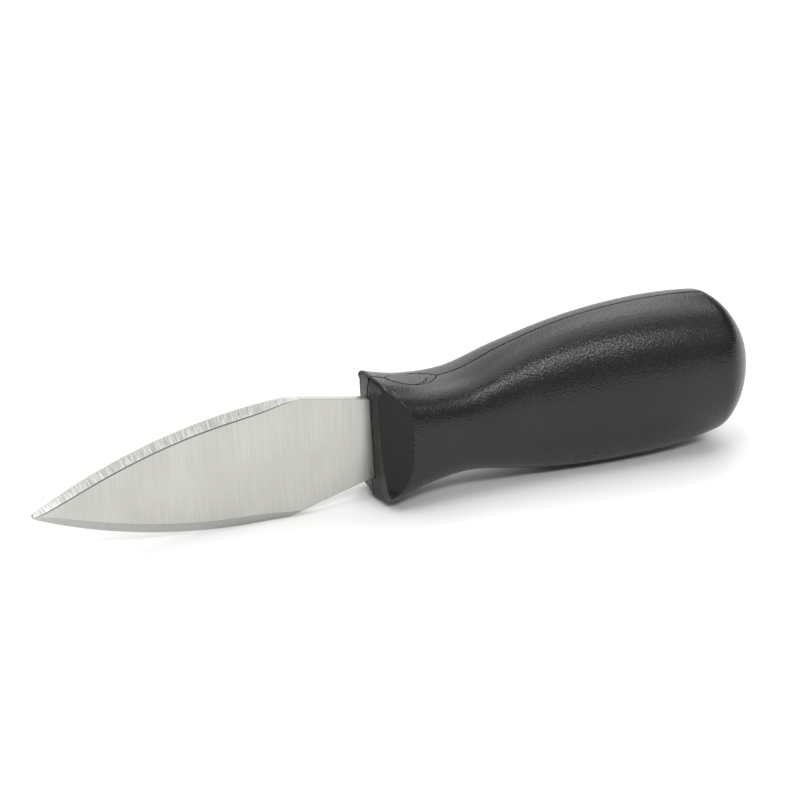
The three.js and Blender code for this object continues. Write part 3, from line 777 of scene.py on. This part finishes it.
# Torn polypropylene: stretched white where the skin has opened, so it is pale, rough and uneven.
# Its fibres are about 0.2 mm wide.
FIBRE_WIDTH = 0.2
FIBRE_RANGE = (0.35, 0.65)
TORN_SHADES = ("#5c5d5b", "#b4b4b0")
torn_plastic, shader = new_material("Torn polypropylene")
place = add_node(shader, "ShaderNodeTexCoord", output="Object")
fibres = add_node(shader, "ShaderNodeTexNoise", place, named={
    "Scale": 1 / (FIBRE_WIDTH * MILLIMETRE), "Detail": 2.0})
tone = add_node(shader, "ShaderNodeValToRGB", fibres)
for stop, level, shade in zip(tone.node.color_ramp.elements, FIBRE_RANGE, TORN_SHADES):
    stop.position = level
    stop.color = linear_colour(shade)
surface = add_node(shader, "ShaderNodeBsdfPrincipled", named={"Base Color": tone, "Roughness": 0.7})
add_node(shader, "ShaderNodeOutputMaterial", surface)

scuff_sizes = {
    "Fleck count": FLECK_COUNT, "Fleck length": FLECK_LENGTH, "Fleck width": FLECK_WIDTH,
    "Fleck thinnest": FLECK_THINNEST, "Fleck scatter": FLECK_SCATTER, "Scatter seed": 3, "Length seed": 8,
}
scuffs, size = new_shape_tree("Crease scuffs", scuff_sizes)
worn_line = add_node(scuffs, "GeometryNodeMeshToCurve", size["Geometry"])
spots = add_node(scuffs, "GeometryNodeCurveToPoints", worn_line, size["Fleck count"])
back_scatter = add_node(scuffs, MATH, size["Fleck scatter"], -1.0, operation="MULTIPLY")
scatter = add_node(scuffs, "FunctionNodeRandomValue", back_scatter, size["Fleck scatter"], None,
                   size["Scatter seed"], data_type="FLOAT_VECTOR")
shifted = add_node(scuffs, "GeometryNodeSetPosition", spots, named={"Offset": scatter})
shortest = add_node(scuffs, "ShaderNodeCombineXYZ", *[size["Fleck thinnest"]] * 3)
longest = add_node(scuffs, "ShaderNodeCombineXYZ", *[size["Fleck width"]] * 2, size["Fleck length"])
stretch = add_node(scuffs, "FunctionNodeRandomValue", shortest, longest, None, size["Length seed"],
                   data_type="FLOAT_VECTOR")
fleck = add_node(scuffs, "GeometryNodeMeshIcoSphere", named={"Radius": 1.0, "Subdivisions": 1})
flecks = add_node(scuffs, "GeometryNodeInstanceOnPoints", shifted, True, fleck, named={
    "Rotation": spots.node.outputs["Rotation"], "Scale": stretch})
loose_flecks = add_node(scuffs, "GeometryNodeRealizeInstances", flecks)
finished = add_node(scuffs, "GeometryNodeSetMaterial", loose_flecks, True, torn_plastic)
add_node(scuffs, "NodeGroupOutput", finished)

worn_paths = [skin[row, first:last] * [1, -1, 1] for row, first, last in WORN_STRETCHES]
worn_points = np.concatenate(worn_paths)
path_ends = np.cumsum([len(path) for path in worn_paths]) - 1
worn_edges = [(i, i + 1) for i in range(len(worn_points) - 1) if i not in path_ends]
worn_mesh = bpy.data.meshes.new("worn crease")
worn_mesh.from_pydata(worn_points.tolist(), worn_edges, [])
scuff_piece = place_piece("crease_scuffs", shaped_mesh(scuffs, scuff_sizes, worn_mesh), sharp_angle=60)
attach(scuff_piece, "root")

# Neck inlay: a lens-shaped plate of the same polypropylene, pressed into a pocket across the seam.
# Its bare top follows the neck, and a lower step is left behind the pad at its rear point.
INLAY_PROUD = 0.1
INLAY_EDGE_ROUND = 0.18
PAD_BACK_X = 13.0
PAD_RISE = 0.12
PAD_EDGE = 0.1
INLAY_ROWS = 120
INLAY_COLUMNS = 56
inlay_run = (1 - np.cos(np.linspace(0, math.pi, INLAY_ROWS)))[:, None] / 2
inlay_x = INLAY_FRONT_X + (INLAY_BACK_X - INLAY_FRONT_X) * inlay_run
inlay_half = lens_half_width(inlay_x, INLAY_FRONT_X, INLAY_BACK_X, INLAY_WIDTH)
inlay_y = inlay_half * np.sin(np.linspace(-math.pi / 2, math.pi / 2, INLAY_COLUMNS))
inlay_x = inlay_x + 0 * inlay_y
thick, rise, _ = np.moveaxis(handle_profile(inlay_x), -1, 0)
square = section_squareness(inlay_x)
neck_height = rise * (1 - (np.abs(inlay_y) / thick) ** square) ** (1 / square)
pad_half = lens_half_width(inlay_x, INLAY_FRONT_X, PAD_BACK_X, INLAY_WIDTH)
past_pad = np.where(inlay_x < PAD_BACK_X, np.abs(inlay_y) - pad_half, np.hypot(inlay_x - PAD_BACK_X, inlay_y))
pad_share = np.clip(0.5 - past_pad / (2 * PAD_EDGE), 0, 1)
into_edge = np.clip(INLAY_EDGE_ROUND - inlay_half + np.abs(inlay_y), 0, INLAY_EDGE_ROUND)
edge_drop = INLAY_EDGE_ROUND - np.sqrt(INLAY_EDGE_ROUND**2 - into_edge**2)
inlay_z = neck_height + INLAY_PROUD + PAD_RISE * (pad_share - 1) - edge_drop
inlay_grid = np.stack([inlay_x, inlay_y, inlay_z], axis=-1)
inlay_mesh = shell_mesh("neck inlay", inlay_grid, 1, lambda edge: [edge * [1, 1, 0] + [0, 0, INLAY_FLOOR_Z]])
inlay_mesh.materials.append(stippled_plastic)
inlay = place_piece("neck_lens_inlay", inlay_mesh, sharp_angle=30)
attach(inlay, "root")
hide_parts("neck_inlay")

# Studio: a floor of white paper swept up behind the knife, in a dim room with soft boxes all round it.
# The paper is matt, so it shows no mirror image of the knife, only its shadow.
FLOOR_WIDTH = 6.0
SWEEP_START = 0.9
SWEEP_RADIUS = 0.3
SWEEP_HEIGHT = 0.35
SWEEP_STEPS = 16
PAPER_SHADE = "#f3f3f3"
sweep_profile = [(-FLOOR_WIDTH / 2, 0.0), (SWEEP_START, 0.0)]
for step in range(1, SWEEP_STEPS + 1):
    angle = math.pi / 2 * step / SWEEP_STEPS
    sweep_profile.append((SWEEP_START + SWEEP_RADIUS * math.sin(angle), SWEEP_RADIUS * (1 - math.cos(angle))))
sweep_profile.append((SWEEP_START + SWEEP_RADIUS, SWEEP_HEIGHT))
floor_mesh = bpy.data.meshes.new("floor sweep")
floor_points = [(x, y, z) for x in (-FLOOR_WIDTH / 2, FLOOR_WIDTH / 2) for y, z in sweep_profile]
strip = len(sweep_profile)
floor_faces = [(i, i + strip, i + strip + 1, i + 1) for i in range(strip - 1)]
floor_mesh.from_pydata(floor_points, [], floor_faces)
floor_mesh.shade_smooth()
floor = bpy.data.objects.new("floor", floor_mesh)
bpy.context.scene.collection.objects.link(floor)
paper, shader = new_material("White paper")
surface = add_node(shader, "ShaderNodeBsdfPrincipled", named={
    "Base Color": linear_colour(PAPER_SHADE), "Roughness": 0.9, "Specular IOR Level": 0.1})
add_node(shader, "ShaderNodeOutputMaterial", surface)
floor_mesh.materials.append(paper)

# Soft boxes: each has an azimuth, where 0 is in front of the left blade face, an elevation, a distance,
# a width, a height and a brightness. The strip above the camera draws the line of light along the handle.
SOFT_BOXES = {
    "front strip": (4, 42, 1.3, 0.9, 0.18, 13.5),
    "front left box": (-60, 55, 1.5, 1.1, 0.75, 2.8),
    "top box": (0, 90, 1.5, 1.2, 1.2, 2.1),
    "back right box": (120, 55, 1.5, 1.1, 0.75, 2.1),
    "back box": (170, 43, 1.5, 1.6, 1.7, 1.5),
    "right box": (65, 50, 1.5, 1.0, 0.9, 0.55),
    "low right box": (35, 22, 1.5, 2.2, 0.6, 0.5),
}
knife_middle = (cad_low + cad_high) / 2


def direction(azimuth, elevation):
    """Direction from the knife at an azimuth, where 0 is in front of the left blade face, and an elevation."""
    level = math.cos(elevation)
    return Vector((math.sin(azimuth) * level, -math.cos(azimuth) * level, math.sin(elevation)))


for name, (azimuth, elevation, distance, width, height, brightness) in SOFT_BOXES.items():
    towards = direction(math.radians(azimuth), math.radians(elevation))
    light = bpy.data.lights.new(name, "AREA")
    light.shape = "RECTANGLE"
    light.size, light.size_y = width, height
    light.energy = brightness * math.pi * width * height
    box = bpy.data.objects.new(name, light)
    box.location = knife_middle + towards * distance
    box.rotation_mode = "QUATERNION"
    box.rotation_quaternion = towards.to_track_quat("Z", "Y")
    bpy.context.scene.collection.objects.link(box)

ROOM_SHADE = "#ffffff"
ROOM_BRIGHTNESS = 0.05
room = bpy.data.worlds.new("room")
room.use_nodes = True
room.node_tree.nodes["Background"].inputs["Color"].default_value = linear_colour(ROOM_SHADE)
room.node_tree.nodes["Background"].inputs["Strength"].default_value = ROOM_BRIGHTNESS
bpy.context.scene.world = room
bpy.context.scene.view_settings.view_transform = "Standard"

# Camera: the picture is 800 pixels square, and the collar's centre falls on a measured pixel of it.
PICTURE_SIZE = 800
SENSOR_WIDTH = 36
CAMERA_DISTANCE = 0.6
CAMERA_AZIMUTH = math.radians(-25.4)
CAMERA_ELEVATION = math.radians(22.05)
PIXELS_PER_METRE = 4818
COLLAR_PIXEL = (372.9, 436.0)
back = direction(CAMERA_AZIMUTH, CAMERA_ELEVATION)
right = Vector((0, 0, 1)).cross(back).normalized()
up = back.cross(right)
camera_data = bpy.data.cameras.new("camera")
camera_data.sensor_width = SENSOR_WIDTH
camera_data.lens = SENSOR_WIDTH * PIXELS_PER_METRE * CAMERA_DISTANCE / PICTURE_SIZE
camera = bpy.data.objects.new("camera", camera_data)
aim = COLLAR_CENTRE - right * (COLLAR_PIXEL[0] - PICTURE_SIZE / 2) / PIXELS_PER_METRE
aim += up * (COLLAR_PIXEL[1] - PICTURE_SIZE / 2) / PIXELS_PER_METRE
camera.location = aim + back * CAMERA_DISTANCE
camera.rotation_mode = "QUATERNION"
camera.rotation_quaternion = Matrix((right, up, back)).transposed().to_quaternion()
bpy.context.scene.collection.objects.link(camera)
bpy.context.scene.camera = camera
